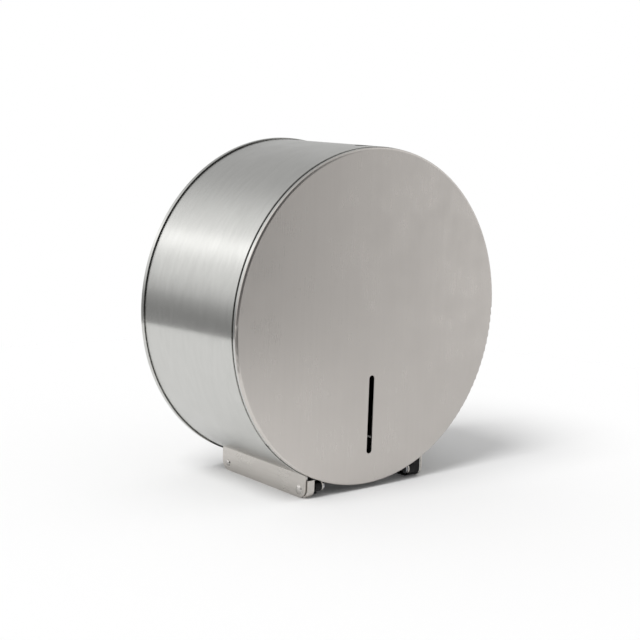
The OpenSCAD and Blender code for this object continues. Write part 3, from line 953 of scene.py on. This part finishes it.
@dataclass
class Studio:
    """Floor, surroundings, lamp and camera; places and radii here are in metres."""

    view: View = View()
    lamp: MainLamp = MainLamp()
    floor_z: float = -0.1364
    floor_radius: float = 0.62
    floor_sides: int = 96
    floor_centre: tuple[float, float] = (0.0, -0.062)
    # painted shade: the floor as the metal mirrors it is a little darker, from the object's left to
    # its right
    floor_white: str = "#F2F2F2"
    floor_shade_in_reflections: str = "#DADADA"
    dim_from: float = -0.15
    dim_to: float = 0.2
    # lifts the plain floor to white for the camera
    floor_glow: float = 0.04
    # light on matt surfaces: from nothing at the horizon up to room_high overhead
    room_low: float = 0.0
    room_high: float = 0.84
    # half the width of the change from the light in front to the light behind
    turn_half: float = 0.25
    # the brightness at the top of a float curve
    curve_top: float = 2.0

    def build(self) -> None:
        """Sets up all that stands round the object."""
        bpy.context.scene.view_settings.view_transform = "Standard"
        self._camera()
        self._floor()
        self._surroundings()
        self._lamp()

    def _camera(self) -> None:
        """Puts the camera where the photograph was taken from."""
        view = self.view
        data = bpy.data.cameras.new("camera")
        data.sensor_width = view.sensor
        data.lens = view.lens
        camera = bpy.data.objects.new("camera", data)
        bpy.context.scene.collection.objects.link(camera)
        azimuth, elevation = math.radians(view.azimuth), math.radians(view.elevation)
        back = Vector((-math.sin(azimuth) * math.cos(elevation),
                       -math.cos(azimuth) * math.cos(elevation), math.sin(elevation)))
        turn = back.to_track_quat("Z", "Y").to_matrix().to_4x4()
        turn = turn @ Matrix.Rotation(math.radians(view.roll), 4, "Z")
        camera.matrix_world = Matrix.Translation(view.place) @ turn
        bpy.context.scene.camera = camera

    def _floor(self) -> None:
        """Lays a round white table top that keeps the object's shadow."""
        shell = bmesh.new()
        bmesh.ops.create_circle(shell, cap_ends=True, segments=self.floor_sides,
                                radius=self.floor_radius)
        bmesh.ops.translate(shell, verts=shell.verts, vec=(*self.floor_centre, self.floor_z))
        floor = set_down("floor", shell)
        material = bpy.data.materials.new("white_table_top")
        material.use_nodes = True
        tree = material.node_tree
        tree.nodes.clear()
        path = add(tree, "ShaderNodeLightPath").outputs
        place = add(tree, "ShaderNodeTexCoord").outputs["Object"]
        across = add(tree, "ShaderNodeSeparateXYZ", in0=place).outputs[0]
        # painted shade seen only in the metal: for glossy rays the floor's colour darkens toward
        # the object's right
        aside = step(tree, across, self.dim_from, self.dim_to)
        reflection_shade_share = maths(tree, "MULTIPLY", aside, path["Is Glossy Ray"])
        matt = add(tree, "ShaderNodeBsdfDiffuse",
                   Color=tint(tree, reflection_shade_share, self.floor_white, self.floor_shade_in_reflections))
        seen = maths(tree, "MULTIPLY", path["Is Camera Ray"], self.floor_glow)
        glow = add(tree, "ShaderNodeEmission", Color=(1, 1, 1, 1), Strength=seen)
        both = add(tree, "ShaderNodeAddShader", in0=matt.outputs[0], in1=glow.outputs[0])
        add(tree, "ShaderNodeOutputMaterial", Surface=both.outputs[0])
        floor.data.materials.append(material)

    def _surroundings(self) -> None:
        """Makes a white background, and a soft studio for the metal to reflect."""
        world = bpy.data.worlds.new("studio")
        bpy.context.scene.world = world
        world.use_nodes = True
        tree = world.node_tree
        tree.nodes.clear()
        way = add(tree, "ShaderNodeTexCoord").outputs["Generated"]
        right, back, up = add(tree, "ShaderNodeSeparateXYZ", in0=way).outputs
        left = maths(tree, "MULTIPLY", right, -1.0)
        forward = maths(tree, "MULTIPLY", back, -1.0)
        over = self._sweep(tree, up, left, SIDE_LIGHT)
        ahead = self._sweep(tree, right, forward, FRONT_LIGHT)
        mirrored = blend(tree, step(tree, back, -self.turn_half, self.turn_half), ahead, over)
        path = add(tree, "ShaderNodeLightPath").outputs
        shiny = maths(tree, "MAXIMUM", path["Is Glossy Ray"], path["Is Transmission Ray"])
        room = add(tree, "ShaderNodeMapRange", Value=up, To_Min=self.room_low,
                   To_Max=self.room_high).outputs["Result"]
        unseen = blend(tree, shiny, room, mirrored)
        seen = blend(tree, path["Is Camera Ray"], unseen, 1.0)
        sky = add(tree, "ShaderNodeBackground", Color=(1, 1, 1, 1), Strength=seen)
        add(tree, "ShaderNodeOutputWorld", Surface=sky.outputs[0])

    def _sweep(self, tree: bpy.types.NodeTree, rise: bpy.types.NodeSocket,
               run: bpy.types.NodeSocket, stops: Stops) -> bpy.types.NodeSocket:
        """Makes a brightness that changes with an angle.

        Args:
            tree: the world's node tree.
            rise: the part of the direction that grows with the angle.
            run: the part of the direction at which the angle is zero.
            stops: angles, from first to last, with their brightness.

        Returns:
            The brightness.
        """
        first, last = stops[0][0], stops[-1][0]
        share = add(tree, "ShaderNodeMapRange", Value=maths(tree, "ARCTAN2", rise, run),
                    From_Min=math.radians(first), From_Max=math.radians(last))
        places = tuple(((place - first) / (last - first), level) for place, level in stops)
        return self._ramp(tree, share.outputs["Result"], places)

    def _ramp(self, tree: bpy.types.NodeTree, value: bpy.types.NodeSocket,
              stops: Stops) -> bpy.types.NodeSocket:
        """Draws a curve of brightness.

        Args:
            tree: the world's node tree.
            value: where on the curve to look, 0 to 1.
            stops: places on the curve, from 0 to 1, with their brightness.

        Returns:
            The brightness there.
        """
        node = add(tree, "ShaderNodeFloatCurve", Value=value)
        curve = node.mapping.curves[0]
        # a new curve already has its two end points
        for i, (place, level) in enumerate(stops):
            height = level / self.curve_top
            point = curve.points[i] if i < 2 else curve.points.new(place, height)
            point.location = (place, height)
        node.mapping.update()
        return maths(tree, "MULTIPLY", node.outputs[0], self.curve_top)

    def _lamp(self) -> None:
        """Hangs the main lamp, which the metal doesn't mirror."""
        data = bpy.data.lights.new("main_lamp", "SUN")
        data.angle = math.radians(self.lamp.spread)
        data.energy = self.lamp.energy
        lamp = bpy.data.objects.new("main_lamp", data)
        lamp.rotation_euler = Vector(self.lamp.toward).to_track_quat("Z", "Y").to_euler()
        bpy.context.scene.collection.objects.link(lamp)
        lamp.visible_glossy = False


def main() -> None:
    """Builds the dispenser's looks and its studio."""
    logging.basicConfig(level=logging.INFO, format="%(message)s")
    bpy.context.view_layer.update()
    shop = FinishShop()
    bench = Bench(shop)
    Studio().build()
    Drum().build(bench)
    FrontCover().build(bench)
    Fittings().build(bench)


if __name__ == "__main__":
    main()
